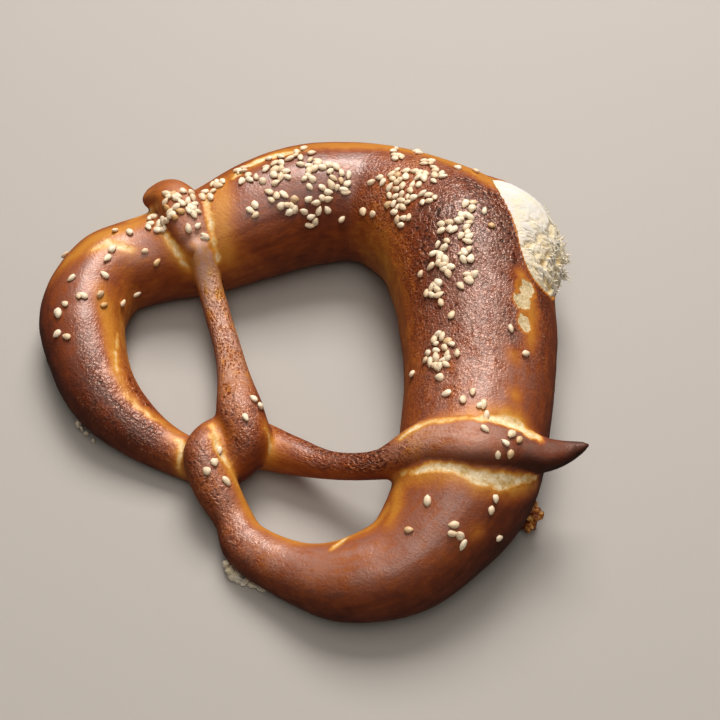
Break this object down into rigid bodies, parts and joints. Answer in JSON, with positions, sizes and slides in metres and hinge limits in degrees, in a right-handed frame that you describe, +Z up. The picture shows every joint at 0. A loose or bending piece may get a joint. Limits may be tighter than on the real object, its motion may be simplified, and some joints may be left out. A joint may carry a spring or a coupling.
{
  "type": "soft pretzel",
  "caption": "Soft pretzel: a rope of dough looped and twisted once, fat belly, thin arms pressed over it, browned glossy crust, sesame seeds and a torn corner.",
  "frame": {"origin": "middle of the footprint, on the surface that the pretzel rests on", "axes": "+Z up; +X from the twist towards the fat belly, which lies along Y; +Y from the small bottom loop towards the belly's torn corner"},
  "size_m": [0.1623, 0.1637, 0.0444],
  "materials": {
    "crust": "browned lye crust, glossy with fine wrinkles, darker on the back and golden in the creases",
    "crumb": "torn open white crumb, matt and fibrous",
    "sesame": "hulled sesame seed, satin, some toasted golden"
  },
  "bodies": {
    "root": {"pretzel": "crust"}
  },
  "joints": []
}
